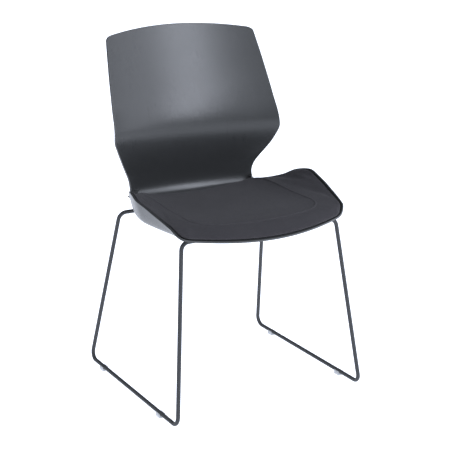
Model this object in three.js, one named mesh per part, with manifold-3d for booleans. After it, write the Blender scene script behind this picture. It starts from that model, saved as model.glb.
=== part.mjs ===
// Sled base visitor chair: a one-piece moulded shell with a fabric seat pad, screwed to a frame
// of bent steel rod whose two runners stand on clip-on glides.
// Millimetres, +Z up. The sitter faces -Y, and left is -X, as seen by someone in front of the chair.

import * as THREE from 'three';
import { NURBSCurve } from 'three/addons/curves/NURBSCurve.js';
import { mergeVertices } from 'three/addons/utils/BufferGeometryUtils.js';
import Module from 'manifold-3d';

const wasm = await Module();
wasm.setup();

// Gaps between pieces that touch or pass through each other.
const touchGap = 0.3;
const padClearance = 1;
const foamGap = 1;
const shankClearance = 0.4;

// Rod frame: two side loops, each with its half of the front and rear crossbars.
const rodDiameter = 10;
const rodBendRadius = 20;
const runnerSpacing = 508;
const runnerLength = 486;
const frontBarHeight = 426;
const rearBarDrop = 8;
const frontBarWidth = 419;
const rearBarWidth = 419;
const frontLegLean = 58;
const rearLegLean = 100;

// Glides: clear clips pushed up over the runners.
const glideSole = 4;
const glideWall = 2.5;
const glideLength = 20;
const glideWrap = 1.5;
const glideEdgeRadius = 1.2;
const frontGlideInset = 88;
const rearGlideInset = 76;

// Flat rails welded between the crossbars, with two screw holes each.
const railSpacing = 210;
const railWidth = 30;
const railThickness = 4;
const railHoleInset = 52;

// Shell profile, in the chair's middle plane, on the sitter's side. The seat stands this far over
// the front crossbar, and the lip and the top edge stand this far beyond the two crossbars.
const seatAboveBar = 11;
const lipOverhang = 62;
const backOverhang = 97;
const backRise = 426;
const seatWave = 17;

// Shell wall and outline, measured across the shell and along its profile.
const shellWall = 5;
const rimRound = 1.5;
const topWidth = 410.5;
const topCornerRadius = 16;
const topArch = 30;
const archLength = 160;
const backWidth = 466;
const backCornerRadius = 24;
const neckWidth = 348;
const neckTopRadius = 80.5;
const neckBottomRadius = 22;
const wingRearWidth = 412.5;
const wingRearRadius = 117;
const wingWidth = 509.5;
const wingCornerRadius = 150;
const lipWidth = 453;
const lipCornerRadius = 34;
const lipBow = 50.8;
const bowLength = 220;

// How far the shell's rim stands forward of the profile on the back, and above it on the wings.
const backHollow = 37;
const wingRise = 69;
const backSteepness = 2;

// Bosses under the seat, their threaded inserts, and the screws and washers that hold the frame.
const bossDiameter = 20;
const insertDiameter = 8.6;
const insertLength = 8;
const screwDiameter = 6;
const screwHeadDiameter = 12;
const screwHeadHeight = 3.4;
const screwFaceShare = 0.6;
const screwReach = 6.5;
const socketAcross = 4;
const socketDepth = 2;
const washerDiameter = 15;
const washerThickness = 1.2;

// Seat pad: fabric cover, moulded foam and a pressed board.
const padInset = 2.5;
const padCornerInset = 5.5;
const padFrontInset = 6;
const padRearCornerRadius = 14;
const padFrontCornerRadius = 40;
const padThickness = 19;
const padEdge = 6;
const padRearEdge = 4.4;
const padRidgeSpacing = 360;
const padRidgeRadius = 50;
const padRidgeDrop = 2;
const padDishSteepness = 5;
const padRollSteepness = 1.4;
const coverThickness = 1.2;
const coverTuck = 1.5;
const frontBand = 50;
const rearBand = 26;
const edgeBand = 60;
const boardThickness = 2.5;

// Flanged nuts in the board and the screws that hold the pad.
const padScrewDiameter = 4;
const padScrewHeadDiameter = 9;
const padScrewHeadHeight = 2.4;
const padScrewSpacing = 170;
const spotFaceDepth = 1.2;
const nutDiameter = 6.4;
const nutFlangeDiameter = 15;
const nutFlangeThickness = 1.2;
const nutSink = 0.6;

// Stations along the shell's profile and across its half width, as shares.
const backCornerShare = 0.326;
const neckTopShare = 0.454;
const neckBottomShare = 0.53;
const bendEndShare = 0.575;
const wingRearShare = 0.618;
const wingShare = 0.7175;
const wingFoldShare = 0.954;
const foldSoftShare = 0.0215;
const padRearShare = 0.528;
const padScrewShares = [0.60, 0.87];
const ridgeShare = 0.88;
const columnShares = [0, 0.3, 0.52, 0.67, 0.78, 0.86, 0.905, 0.935, 0.96, 0.98, 1];
const boardColumnShares = [0, 0.3, 0.52, 0.67, 0.77];
const boardStationShares = [0.565, 0.60, 0.65, 0.70, 0.75, 0.80, 0.85, 0.90];

// Control points of the profile: how far back, as shares of backReach, and how high, of backRise.
const backProfileShares = [
  [0.994, 1.000], [0.911, 0.882], [0.788, 0.700], [0.661, 0.542], [0.612, 0.391],
  [0.655, 0.273], [0.730, 0.116], [0.709, 0.000],
];
// The seat's part of the profile: shares of seatReach and of seatWave.
const seatProfileShares = [
  [0.454, -0.06], [0.182, 0.06], [-0.113, -0.06], [-0.405, 0.00],
  [-0.660, 0.24], [-0.834, 0.24], [-1.000, -0.82],
];
// Rim height along the profile: station, then the share of backHollow or of wingRise there.
const hollowShares = [
  [0.00, 0.69], [0.12, 0.80], [0.24, 0.91], [0.31, 1.21], [0.353, 1.08], [0.44, 0.56],
  [0.508, 0.52], [0.542, 0.29], [0.60, 0.10], [0.70, 0.16], [1.00, 0.00],
];
const riseShares = [
  [0, 0], [0.31, 0], [0.44, 0.03], [0.508, 0.12], [0.542, 0.2], [0.589, 0.43], [0.636, 0.62],
  [0.677, 0.87], [0.72, 0.96], [0.765, 0.81], [0.8, 0.73], [0.87, 0.54], [0.92, 0.41],
  [0.965, 0.29], [1, 0.17],
];

// How finely the pieces are divided.
const profileDivisions = 600;
const rowLimit = 36;
const bendRowLimit = 13;
const rowGap = 3;
const filletSteps = 3;
const rodSides = 12;
const bendSteps = 6;
const roundSides = 12;
const bossSides = 24;
const socketSides = 6;
const probeStep = 0.5;
const splineDegree = 3;
const overrun = 2;

// Where the crossbars lie, and the reach of the shell's profile to each side of the middle.
const rodRadius = rodDiameter / 2;
const runnerHeight = glideSole + touchGap + rodRadius;
const rearBarHeight = frontBarHeight - rearBarDrop;
const frontBarY = frontLegLean - runnerLength / 2;
const rearBarY = runnerLength / 2 - rearLegLean;
const seatHeight = frontBarHeight + seatAboveBar;
const seatReach = lipOverhang - frontBarY;
const backReach = rearBarY + backOverhang;

const materials = {
  shell: { color: 0x3f4247, roughness: 0.42, metalness: 0 },
  fabric: { color: 0x3b393e, roughness: 0.95, metalness: 0 },
  foam: { color: 0xd8cfae, roughness: 0.95, metalness: 0 },
  board: { color: 0x2a2a2c, roughness: 0.7, metalness: 0 },
  rod: { color: 0x4c5157, roughness: 0.45, metalness: 0.3 },
  clear: { color: 0xdfe4e6, roughness: 0.25, metalness: 0 },
  zinc: { color: 0xa9acb0, roughness: 0.35, metalness: 0.9 },
  brass: { color: 0xb5923f, roughness: 0.35, metalness: 0.9 },
};

const chair = new THREE.Group();

function addPiece(name, geometry, finish) {
  const mesh = new THREE.Mesh(geometry, new THREE.MeshStandardMaterial(materials[finish]));
  mesh.name = name;
  chair.add(mesh);
  return mesh;
}

// Solids for joining and cutting.

function toSolid(geometry) {
  const bare = geometry.clone();
  bare.deleteAttribute('normal');
  bare.deleteAttribute('uv');
  const merged = mergeVertices(bare);
  return new wasm.Manifold(new wasm.Mesh({
    numProp: 3,
    vertProperties: new Float32Array(merged.attributes.position.array),
    triVerts: new Uint32Array(merged.index.array),
  }));
}

function toGeometry(solid) {
  const mesh = solid.getMesh();
  const geometry = new THREE.BufferGeometry();
  geometry.setAttribute('position', new THREE.BufferAttribute(new Float32Array(mesh.vertProperties), 3));
  geometry.setIndex(new THREE.BufferAttribute(new Uint32Array(mesh.triVerts), 1));
  geometry.computeVertexNormals();
  return geometry;
}

// A cylinder from one height to another on an axis that starts at a point.
function cylinderOn(origin, axis, radius, low, high, sides) {
  const geometry = new THREE.CylinderGeometry(radius, radius, high - low, sides);
  geometry.translate(0, (high + low) / 2, 0);
  return placeOn(geometry, origin, axis);
}

// Turns a shape whose own axis is +Y onto an axis, and moves it to a point.
function placeOn(geometry, origin, axis) {
  const turn = new THREE.Quaternion().setFromUnitVectors(new THREE.Vector3(0, 1, 0), axis);
  geometry.applyQuaternion(turn);
  geometry.translate(origin.x, origin.y, origin.z);
  return geometry;
}

// A turned piece: its section is a list of radius and height, from the axis to the axis or closed.
function turned(section, sides = roundSides) {
  return new THREE.LatheGeometry(section.map(([r, h]) => new THREE.Vector2(r, h)), sides);
}

function ring(inner, outer, low, high) {
  return turned([[inner, low], [outer, low], [outer, high], [inner, high], [inner, low]]);
}

// Plain curves shared by the shell and the pad.

function smoothstep(t) {
  const k = Math.min(Math.max(t, 0), 1);
  return k * k * (3 - 2 * k);
}

// Nearly 0 below zero, and nearly the value itself above it.
function softplus(t) {
  return Math.log1p(Math.exp(t));
}

// A smooth line through a table of stations and shares, which never overshoots the table.
function tableSlope(table, i) {
  if (i === 0 || i === table.length - 1) return 0;
  const before = (table[i][1] - table[i - 1][1]) / (table[i][0] - table[i - 1][0]);
  const after = (table[i + 1][1] - table[i][1]) / (table[i + 1][0] - table[i][0]);
  return before * after <= 0 ? 0 : 2 * before * after / (before + after);
}

function smoothTable(table, at) {
  const last = table.length - 1;
  if (at <= table[0][0]) return table[0][1];
  if (at >= table[last][0]) return table[last][1];
  let i = 0;
  while (at > table[i + 1][0]) i += 1;
  const width = table[i + 1][0] - table[i][0];
  const t = (at - table[i][0]) / width;
  const start = table[i][1];
  const end = table[i + 1][1];
  const pull = (1 - t) * tableSlope(table, i) - t * tableSlope(table, i + 1);
  const bend = (1 - 2 * t) * (start - end);
  return (1 - t) * start + t * end + t * (1 - t) * (width * pull + bend);
}

// Rounds the corners of an open line of [station, half width, radius].
function roundCorners(corners) {
  const line = [];
  corners.forEach(([station, width, radius], i) => {
    const corner = new THREE.Vector2(station, width);
    if (radius === 0) {
      line.push(corner);
      return;
    }
    const before = new THREE.Vector2(...corners[i - 1]).sub(corner);
    const after = new THREE.Vector2(...corners[i + 1]).sub(corner);
    const room = Math.min(before.length(), after.length()) / 2;
    before.normalize();
    after.normalize();
    const half = Math.acos(before.dot(after)) / 2;
    const reach = Math.min(radius / Math.tan(half), room);
    const arcRadius = reach * Math.tan(half);
    const middle = before.clone().add(after).normalize();
    const centre = corner.clone().addScaledVector(middle, arcRadius / Math.sin(half));
    const start = corner.clone().addScaledVector(before, reach).sub(centre);
    const end = corner.clone().addScaledVector(after, reach).sub(centre);
    const sweep = Math.atan2(start.cross(end), start.dot(end));
    for (let k = 0; k <= filletSteps; k += 1) {
      line.push(start.clone().rotateAround(new THREE.Vector2(), sweep * k / filletSteps).add(centre));
    }
  });
  return line;
}

function widthAt(line, station) {
  let i = 1;
  while (i < line.length - 2 && line[i + 1].x < station) i += 1;
  const t = (station - line[i].x) / (line[i + 1].x - line[i].x);
  return line[i].y + (line[i + 1].y - line[i].y) * t;
}

// The shell's profile, from the middle of the top edge down the back and forward to the lip.

const profilePoints = [
  ...backProfileShares.map(([y, z]) => [y * backReach, seatHeight + z * backRise]),
  ...seatProfileShares.map(([y, z]) => [y * seatReach, seatHeight + z * seatWave]),
].map(([y, z]) => new THREE.Vector4(0, y, z, 1));
const spans = profilePoints.length - splineDegree;
const knots = [
  ...Array(splineDegree).fill(0),
  ...Array.from({ length: spans + 1 }, (_, i) => i / spans),
  ...Array(splineDegree).fill(1),
];
const profile = new NURBSCurve(splineDegree, knots, profilePoints);
profile.arcLengthDivisions = profileDivisions;
const profileLength = profile.getLength();

const shellCorners = [
  [0, 0, 0],
  [0, topWidth / 2, topCornerRadius],
  [backCornerShare * profileLength, backWidth / 2, backCornerRadius],
  [neckTopShare * profileLength, neckWidth / 2, neckTopRadius],
  [neckBottomShare * profileLength, neckWidth / 2, neckBottomRadius],
  [wingRearShare * profileLength, wingRearWidth / 2, wingRearRadius],
  [wingShare * profileLength, wingWidth / 2, wingCornerRadius],
  [profileLength, lipWidth / 2, lipCornerRadius],
  [profileLength, 0, 0],
];
const shellOutline = roundCorners(shellCorners);

// The shell's sides run straight on to the lip, so that the wings end at its rounded corners.
const sideLine = roundCorners([...shellCorners.slice(0, -2), [profileLength, lipWidth / 2, 0]]);

// How high the wing stands across the shell: flat inside the fold, then steeply up to the rim.
function wingSection(u) {
  const rimShare = softplus((1 - wingFoldShare) / foldSoftShare);
  return softplus((u - wingFoldShare) / foldSoftShare) / rimShare;
}

// The gentler dish that the pad's top follows over the fold.
function dishSection(u) {
  return u ** padDishSteepness;
}

// A point of the shell's inner face: station along the profile, x across.
function facePoint(station, x, section = wingSection) {
  const nearTop = Math.max(1 - Math.max(station, 0) / archLength, 0);
  const nearLip = Math.max(1 - (profileLength - station) / bowLength, 0);
  const arch = topArch * nearTop ** 2 * (2 * x / topWidth) ** 2;
  const bow = lipBow * Math.min(nearLip, 1) ** 2 * (2 * x / lipWidth) ** 2;
  const share = Math.min(Math.max((station + arch - bow) / profileLength, 0), 1);
  const point = profile.getPointAt(share);
  const along = profile.getTangentAt(share);
  const u = Math.abs(x) / widthAt(sideLine, station);
  const rise = backHollow * smoothTable(hollowShares, station / profileLength) * u ** backSteepness
    + wingRise * smoothTable(riseShares, station / profileLength) * section(u);
  return new THREE.Vector3(x, point.y + rise * along.z, point.z - rise * along.y);
}

// The same point lifted off the face, towards the sitter, or with a negative lift into the wall.
function liftedPoint(station, x, lift, section = wingSection) {
  const along = facePoint(station + probeStep, x, section).sub(facePoint(station - probeStep, x, section));
  const across = facePoint(station, x + probeStep, section).sub(facePoint(station, x - probeStep, section));
  const normal = along.cross(across).normalize();
  return facePoint(station, x, section).addScaledVector(normal, lift);
}

// How far a point of the face moves for each millimetre of station and x on a way.
function faceStretch(station, x, way) {
  const near = facePoint(station + way.x * probeStep, x + way.y * probeStep);
  return near.distanceTo(facePoint(station, x)) / probeStep;
}

// Seat pad outline: inside the shell's rim, from the foot of the back to the lip. Its sides keep
// their distance from the rim along the face, and so they come close to it across the wings.
const padRear = padRearShare * profileLength;
const padFront = profileLength - padFrontInset;

function sideInset(station, inset = padInset) {
  const rim = widthAt(shellOutline, station);
  return inset / faceStretch(station, rim, new THREE.Vector2(0, -1));
}

const wingRear = wingRearShare * profileLength;
const wingMiddle = wingShare * profileLength;
const padOutline = roundCorners([
  [padRear, 0, 0],
  [padRear, widthAt(shellOutline, padRear) - sideInset(padRear), padRearCornerRadius],
  [wingRear, wingRearWidth / 2 - sideInset(wingRear), wingRearRadius],
  [wingMiddle, wingWidth / 2 - sideInset(wingMiddle, padCornerInset), wingCornerRadius],
  [padFront, lipWidth / 2 - padInset, padFrontCornerRadius],
  [padFront, 0, 0],
]);

// Rows shared by the shell and the pad: the bends of the shell's outline and of the pad's
// corners, the pad's ends, and steps between them that are short where the seat turns up.
function makeRows() {
  const kept = [0, padRear, padFront, profileLength];
  const padCorners = [...padOutline.slice(2, filletSteps + 2), ...padOutline.slice(-filletSteps - 2, -2)];
  const bends = [...padCorners, ...shellOutline.slice(1, -1)].map((point) => point.x);
  for (const bend of bends) {
    if (kept.every((station) => Math.abs(station - bend) > rowGap)) kept.push(bend);
  }
  kept.sort((a, b) => a - b);
  const rows = [kept[0]];
  for (const station of kept.slice(1)) {
    const from = rows[rows.length - 1];
    const inBend = station > neckTopShare * profileLength && from < bendEndShare * profileLength;
    const steps = Math.ceil((station - from) / (inBend ? bendRowLimit : rowLimit));
    for (let k = 1; k <= steps; k += 1) rows.push(from + (station - from) * k / steps);
  }
  return rows;
}

const shellRows = makeRows();
const padRows = shellRows.filter((station) => station >= padRear && station <= padFront);

// The station at which the face stands at a given y on the seat.
function seatStation(y, x) {
  let low = padRearShare * profileLength;
  let high = profileLength;
  while (high - low > probeStep / roundSides) {
    const middle = (low + high) / 2;
    if (facePoint(middle, x).y > y) low = middle;
    else high = middle;
  }
  return (low + high) / 2;
}

// A sheet of grid cells on the face, with the way inwards at each point of its edge.
function makeGrid(rows, widthOf, shares) {
  const columns = [...shares.slice(1).reverse().map((share) => -share), ...shares];
  return rows.map((station) => columns.map((share) => ({ station, x: share * widthOf(station) })));
}

// The edge of a grid, once round, with each corner once.
function edgeOf(grid) {
  const lastRow = grid.length - 1;
  const lastColumn = grid[0].length - 1;
  const loop = [];
  for (let j = 0; j < lastColumn; j += 1) loop.push([0, j]);
  for (let i = 0; i < lastRow; i += 1) loop.push([i, lastColumn]);
  for (let j = lastColumn; j > 0; j -= 1) loop.push([lastRow, j]);
  for (let i = lastRow; i > 0; i -= 1) loop.push([i, 0]);
  return loop;
}

function markInwards(grid) {
  const loop = edgeOf(grid);
  loop.forEach(([i, j], k) => {
    const before = grid[loop.at(k - 1)[0]][loop.at(k - 1)[1]];
    const next = loop[(k + 1) % loop.length];
    const after = grid[next[0]][next[1]];
    const along = new THREE.Vector2(after.station - before.station, after.x - before.x).normalize();
    grid[i][j].inwards = new THREE.Vector2(along.y, -along.x);
  });
  return grid;
}

// How thick the pad's edge is: thinner at the foot of the back.
function edgeLift(station) {
  return padRearEdge + (padEdge - padRearEdge) * smoothstep((station - padRear) / edgeBand);
}

// A point lifted off the pad's dish, which is drawn in at its sides so that it meets the face.
function padPoint(station, x, lift) {
  const edge = widthAt(padOutline, station);
  const side = Math.sign(x) * edge;
  const rim = edgeLift(station);
  const drawIn = liftedPoint(station, side, rim).sub(liftedPoint(station, side, rim, dishSection));
  const point = liftedPoint(station, x, lift, dishSection);
  return point.addScaledVector(drawIn, dishSection(Math.abs(x) / edge));
}

// A point of a grid: edge points are moved in along the face by the inset, and all are lifted by
// a rule, off the face or off the pad's dish.
function sheetPoint(cell, inset, liftOf, pointOf = liftedPoint) {
  let { station, x } = cell;
  if (cell.inwards) {
    const step = inset / faceStretch(station, x, cell.inwards);
    station += cell.inwards.x * step;
    x += cell.inwards.y * step;
  }
  return pointOf(station, x, liftOf(station, x));
}

// A closed solid between two sheets over one grid. Each sheet and each band of the edge between
// them is an inset, a rule for the lift, and what the point is lifted off.
function layeredSolid(grid, front, back, bands = []) {
  const positions = [];
  const faces = [];
  const columns = grid[0].length;
  const loop = edgeOf(grid);
  const addPoint = (cell, rule) => {
    positions.push(...sheetPoint(cell, ...rule).toArray());
    return positions.length / 3 - 1;
  };
  const sheets = [front, back].map((rule) => grid.map((row) => row.map((cell) => addPoint(cell, rule))));
  for (let i = 0; i + 1 < grid.length; i += 1) {
    for (let j = 0; j + 1 < columns; j += 1) {
      const flip = j >= (columns - 1) / 2;
      sheets.forEach((sheet, side) => {
        const a = sheet[i][j];
        const b = sheet[i][j + 1];
        const c = sheet[i + 1][j + 1];
        const d = sheet[i + 1][j];
        const cells = flip ? [[a, d, b], [b, d, c]] : [[a, d, c], [a, c, b]];
        for (const [p, q, r] of cells) faces.push(...(side === 0 ? [p, q, r] : [p, r, q]));
      });
    }
  }
  const rings = [
    loop.map(([i, j]) => sheets[0][i][j]),
    ...bands.map((rule) => loop.map(([i, j]) => addPoint(grid[i][j], rule))),
    loop.map(([i, j]) => sheets[1][i][j]),
  ];
  for (let n = 0; n + 1 < rings.length; n += 1) {
    loop.forEach((_, k) => {
      const next = (k + 1) % loop.length;
      faces.push(rings[n][k], rings[n][next], rings[n + 1][k]);
      faces.push(rings[n][next], rings[n + 1][next], rings[n + 1][k]);
    });
  }
  const geometry = new THREE.BufferGeometry();
  geometry.setAttribute('position', new THREE.Float32BufferAttribute(positions, 3));
  geometry.setIndex(faces);
  geometry.computeVertexNormals();
  return geometry;
}

// Where the screws go. The rails slope with the line between the two crossbars.

const railStart = new THREE.Vector3(0, frontBarY, frontBarHeight);
const railSpan = new THREE.Vector3(0, rearBarY, rearBarHeight).sub(railStart);
const railReach = railSpan.length();
const railAlong = railSpan.clone().normalize();
const railUp = new THREE.Vector3(1, 0, 0).cross(railAlong);

const frameFixings = [];
for (const side of [-1, 1]) {
  for (const distance of [railHoleInset, railReach - railHoleInset]) {
    const seat = railStart.clone().addScaledVector(railAlong, distance);
    seat.addScaledVector(railUp, railThickness / 2);
    seat.x = side * railSpacing / 2;
    frameFixings.push(seat);
  }
}

// The pad's fixings stand square to the shell's face.
const padFixings = [];
for (const side of [-1, 1]) {
  for (const share of padScrewShares) {
    const foot = facePoint(share * profileLength, side * padScrewSpacing / 2);
    const above = liftedPoint(share * profileLength, side * padScrewSpacing / 2, probeStep);
    padFixings.push({ foot, axis: above.sub(foot).normalize() });
  }
}

// A point on a pad fixing's axis, lifted off the face.
function fixingPoint({ foot, axis }, lift) {
  return foot.clone().addScaledVector(axis, lift);
}

// Shell: the moulded wall with its rounded rim, four bosses with bores for the inserts, and four
// holes with spot faces for the pad's screws.

const insertRadius = insertDiameter / 2;
const insertBore = insertRadius + touchGap;
const boreDepth = insertLength + 2 * touchGap;

function makeShell() {
  const grid = markInwards(makeGrid(shellRows, (station) => widthAt(shellOutline, station), columnShares));
  let solid = toSolid(layeredSolid(grid,
    [rimRound, () => 0],
    [rimRound, () => -shellWall],
    [[0, () => -shellWall / 2]]));
  const bores = [];
  for (const seat of frameFixings) {
    const station = seatStation(seat.y, seat.x);
    const wallMiddle = liftedPoint(station, seat.x, -shellWall / 2).z;
    const top = (wallMiddle - seat.z) / railUp.z;
    solid = solid.add(toSolid(cylinderOn(seat, railUp, bossDiameter / 2, touchGap, top, bossSides)));
    bores.push(cylinderOn(seat, railUp, insertBore, touchGap - overrun, touchGap + boreDepth, roundSides));
  }
  const holeRadius = padScrewDiameter / 2 + shankClearance;
  const spotRadius = padScrewHeadDiameter / 2 + shankClearance;
  for (const fixing of padFixings) {
    const outside = fixingPoint(fixing, -shellWall);
    bores.push(cylinderOn(outside, fixing.axis, holeRadius, -overrun, shellWall + overrun, roundSides));
    bores.push(cylinderOn(outside, fixing.axis, spotRadius, -overrun, spotFaceDepth, roundSides));
  }
  for (const bore of bores) solid = solid.subtract(toSolid(bore));
  return toGeometry(solid);
}

addPiece('shell', makeShell(), 'shell');

// Seat pad. Its crown is full inside a ridge line that runs forward along both sides and round the
// front, then rolls off to the edge. The rear end is lower, where the back turns up.

function padRoll(station, x) {
  const edge = widthAt(padOutline, station);
  const ridge = Math.min(padRidgeSpacing / 2, ridgeShare * edge);
  const beside = Math.max(Math.abs(x) - ridge + padRidgeRadius, 0);
  const before = Math.max(station - padFront + frontBand + padRidgeRadius, 0);
  const past = Math.max(Math.hypot(beside, before) - padRidgeRadius, 0);
  const room = Math.max(Math.min(edge - Math.abs(x), padFront - station), 0);
  return past === 0 ? 0 : (past / (past + room)) ** padRollSteepness;
}

function padLift(station, x) {
  const rear = smoothstep((station - padRear) / rearBand);
  const dip = padRidgeDrop * Math.max(1 - (2 * x / padRidgeSpacing) ** 2, 0);
  const crown = padThickness - edgeLift(station) - dip;
  return edgeLift(station) + crown * (1 - padRoll(station, x)) * (1 + rear) / 2;
}

const padGrid = markInwards(makeGrid(padRows, (station) => widthAt(padOutline, station), columnShares));
const padWall = coverThickness + foamGap;

addPiece('pad_cover', layeredSolid(padGrid,
  [coverTuck, padLift, padPoint],
  [coverTuck + coverThickness, (s, x) => padLift(s, x) - coverThickness, padPoint],
  [
    [0, (s) => edgeLift(s) / 2],
    [coverTuck, () => padClearance],
    [coverTuck + coverThickness, () => padClearance],
  ]), 'fabric');

const boardTop = padClearance + boardThickness;
const nutSeat = boardTop - nutSink;
const nutFoot = nutSink - boardThickness;
const flangeSeatRadius = nutFlangeDiameter / 2 + touchGap;
const boardWidthOf = (station) => widthAt(padOutline, station);
const boardRows = boardStationShares.map((share) => share * profileLength);
const boardGrid = () => markInwards(makeGrid(boardRows, boardWidthOf, boardColumnShares));

// Board: one hole for each nut, with a shallow seat for its flange.
function makeBoard() {
  let solid = toSolid(layeredSolid(boardGrid(), [0, () => boardTop], [0, () => padClearance]));
  const holeRadius = nutDiameter / 2 + touchGap;
  for (const fixing of padFixings) {
    const seat = fixingPoint(fixing, nutSeat);
    const hole = cylinderOn(seat, fixing.axis, holeRadius, nutFoot - overrun, overrun, roundSides);
    const sink = cylinderOn(seat, fixing.axis, flangeSeatRadius, 0, overrun, roundSides);
    solid = solid.subtract(toSolid(hole)).subtract(toSolid(sink));
  }
  return toGeometry(solid);
}

addPiece('pad_board', makeBoard(), 'board');

// Foam: fills the cover, with a pocket below for the board and a recess over each nut.
function makeFoam() {
  let solid = toSolid(layeredSolid(padGrid,
    [coverTuck + padWall, (s, x) => padLift(s, x) - padWall, padPoint],
    [coverTuck + padWall, () => padClearance]));
  const pocket = layeredSolid(boardGrid(),
    [-padWall, () => boardTop + touchGap],
    [-padWall, () => padClearance - overrun]);
  solid = solid.subtract(toSolid(pocket));
  const recessTop = nutFlangeThickness + 2 * touchGap;
  for (const fixing of padFixings) {
    const seat = fixingPoint(fixing, nutSeat);
    const recess = cylinderOn(seat, fixing.axis, flangeSeatRadius, -overrun, recessTop, roundSides);
    solid = solid.subtract(toSolid(recess));
  }
  return toGeometry(solid);
}

addPiece('pad_foam', makeFoam(), 'foam');

// The pad's nuts and screws.

const padShankRadius = padScrewDiameter / 2;
const nutBore = padShankRadius + touchGap;
const padScrewHeadRadius = padScrewHeadDiameter / 2;

padFixings.forEach((fixing, i) => {
  const nut = turned([
    [nutBore, nutFoot], [nutDiameter / 2, nutFoot],
    [nutDiameter / 2, touchGap], [nutFlangeDiameter / 2, touchGap],
    [nutFlangeDiameter / 2, nutFlangeThickness + touchGap],
    [nutBore, nutFlangeThickness + touchGap], [nutBore, nutFoot],
  ]);
  addPiece(`pad_nut_${i + 1}`, placeOn(nut, fixingPoint(fixing, nutSeat), fixing.axis), 'zinc');

  const headTop = fixingPoint(fixing, -shellWall);
  const tip = nutSeat + shellWall;
  const screw = turned([
    [0, spotFaceDepth - touchGap - padScrewHeadHeight],
    [padScrewHeadRadius / 2, spotFaceDepth - touchGap - padScrewHeadHeight],
    [padScrewHeadRadius, spotFaceDepth - touchGap - padScrewHeadHeight / 2],
    [padScrewHeadRadius, spotFaceDepth - touchGap],
    [padShankRadius, spotFaceDepth - touchGap],
    [padShankRadius, tip],
    [0, tip],
  ]);
  addPiece(`pad_screw_${i + 1}`, placeOn(screw, headTop, fixing.axis), 'zinc');
});

// Rod frame. Each half is one rod, bent at four corners, from the middle of the front crossbar
// through leg, runner and leg to the middle of the rear crossbar, where the halves are welded.

class BentRod extends THREE.Curve {
  constructor(corners, radius) {
    super();
    this.stops = [];
    this.ways = [];
    corners.forEach((corner, i) => {
      if (i === 0 || i === corners.length - 1) {
        const other = i === 0 ? corners[1] : corners[i - 1];
        const way = i === 0 ? other.clone().sub(corner) : corner.clone().sub(other);
        this.addStop(corner, way.normalize());
        return;
      }
      const before = corners[i - 1].clone().sub(corner).normalize();
      const after = corners[i + 1].clone().sub(corner).normalize();
      const half = before.angleTo(after) / 2;
      const middle = before.clone().add(after).normalize();
      const centre = corner.clone().addScaledVector(middle, radius / Math.sin(half));
      const arm = corner.clone().addScaledVector(before, radius / Math.tan(half)).sub(centre);
      const axis = after.clone().cross(before).normalize();
      for (let k = 0; k <= bendSteps; k += 1) {
        const angle = (Math.PI - 2 * half) * k / bendSteps;
        const spoke = arm.clone().applyAxisAngle(axis, angle);
        const way = before.clone().negate().applyAxisAngle(axis, angle);
        this.addStop(centre.clone().add(spoke), way);
      }
    });
  }

  addStop(point, way) {
    this.stops.push(point);
    this.ways.push(way);
  }

  getPointAt(share) {
    return this.stops[Math.round(share * (this.stops.length - 1))].clone();
  }

  getTangentAt(share) {
    return this.ways[Math.round(share * (this.ways.length - 1))].clone();
  }
}

function circleShape(radius, sides) {
  const points = Array.from({ length: sides }, (_, k) => {
    const angle = 2 * Math.PI * (k + 1 / 2) / sides;
    return new THREE.Vector2(radius * Math.cos(angle), radius * Math.sin(angle));
  });
  return new THREE.Shape(points);
}

function makeRod(side) {
  const corners = [
    [touchGap / 2, frontBarY, frontBarHeight],
    [frontBarWidth / 2, frontBarY, frontBarHeight],
    [runnerSpacing / 2, -runnerLength / 2, runnerHeight],
    [runnerSpacing / 2, runnerLength / 2, runnerHeight],
    [rearBarWidth / 2, rearBarY, rearBarHeight],
    [touchGap / 2, rearBarY, rearBarHeight],
  ].map(([x, y, z]) => new THREE.Vector3(side * x, y, z));
  const path = new BentRod(corners, rodBendRadius);
  return new THREE.ExtrudeGeometry(circleShape(rodRadius, rodSides), {
    steps: path.stops.length - 1,
    extrudePath: path,
    curveSegments: 1,
  });
}

addPiece('sled_rod_left', makeRod(-1), 'rod');
addPiece('sled_rod_right', makeRod(1), 'rod');

// Seat rails: flat steel between the crossbars, sloping with them.

function makeRail(side) {
  const start = rodRadius + touchGap;
  const end = railReach - start;
  const strip = new THREE.Shape();
  strip.moveTo(-railWidth / 2, start);
  strip.lineTo(railWidth / 2, start);
  strip.lineTo(railWidth / 2, end);
  strip.lineTo(-railWidth / 2, end);
  strip.closePath();
  for (const distance of [railHoleInset, railReach - railHoleInset]) {
    const hole = new THREE.Path();
    hole.absarc(0, distance, screwDiameter / 2 + shankClearance, 0, 2 * Math.PI, true);
    strip.holes.push(hole);
  }
  const rail = new THREE.ExtrudeGeometry(strip, {
    depth: railThickness,
    bevelEnabled: false,
    curveSegments: roundSides,
  });
  const across = new THREE.Vector3(1, 0, 0);
  const place = new THREE.Matrix4().makeBasis(across, railAlong, railUp);
  const corner = railStart.clone().addScaledVector(railUp, -railThickness / 2);
  corner.x = side * railSpacing / 2;
  return rail.applyMatrix4(place.setPosition(corner));
}

addPiece('seat_rail_left', makeRail(-1), 'rod');
addPiece('seat_rail_right', makeRail(1), 'rod');

// Inserts in the bosses, and the screws and washers that clamp the rails to them.

const shankRadius = screwDiameter / 2;
const headRadius = screwHeadDiameter / 2;
const headSeat = -railThickness - touchGap - washerThickness - touchGap;

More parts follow.
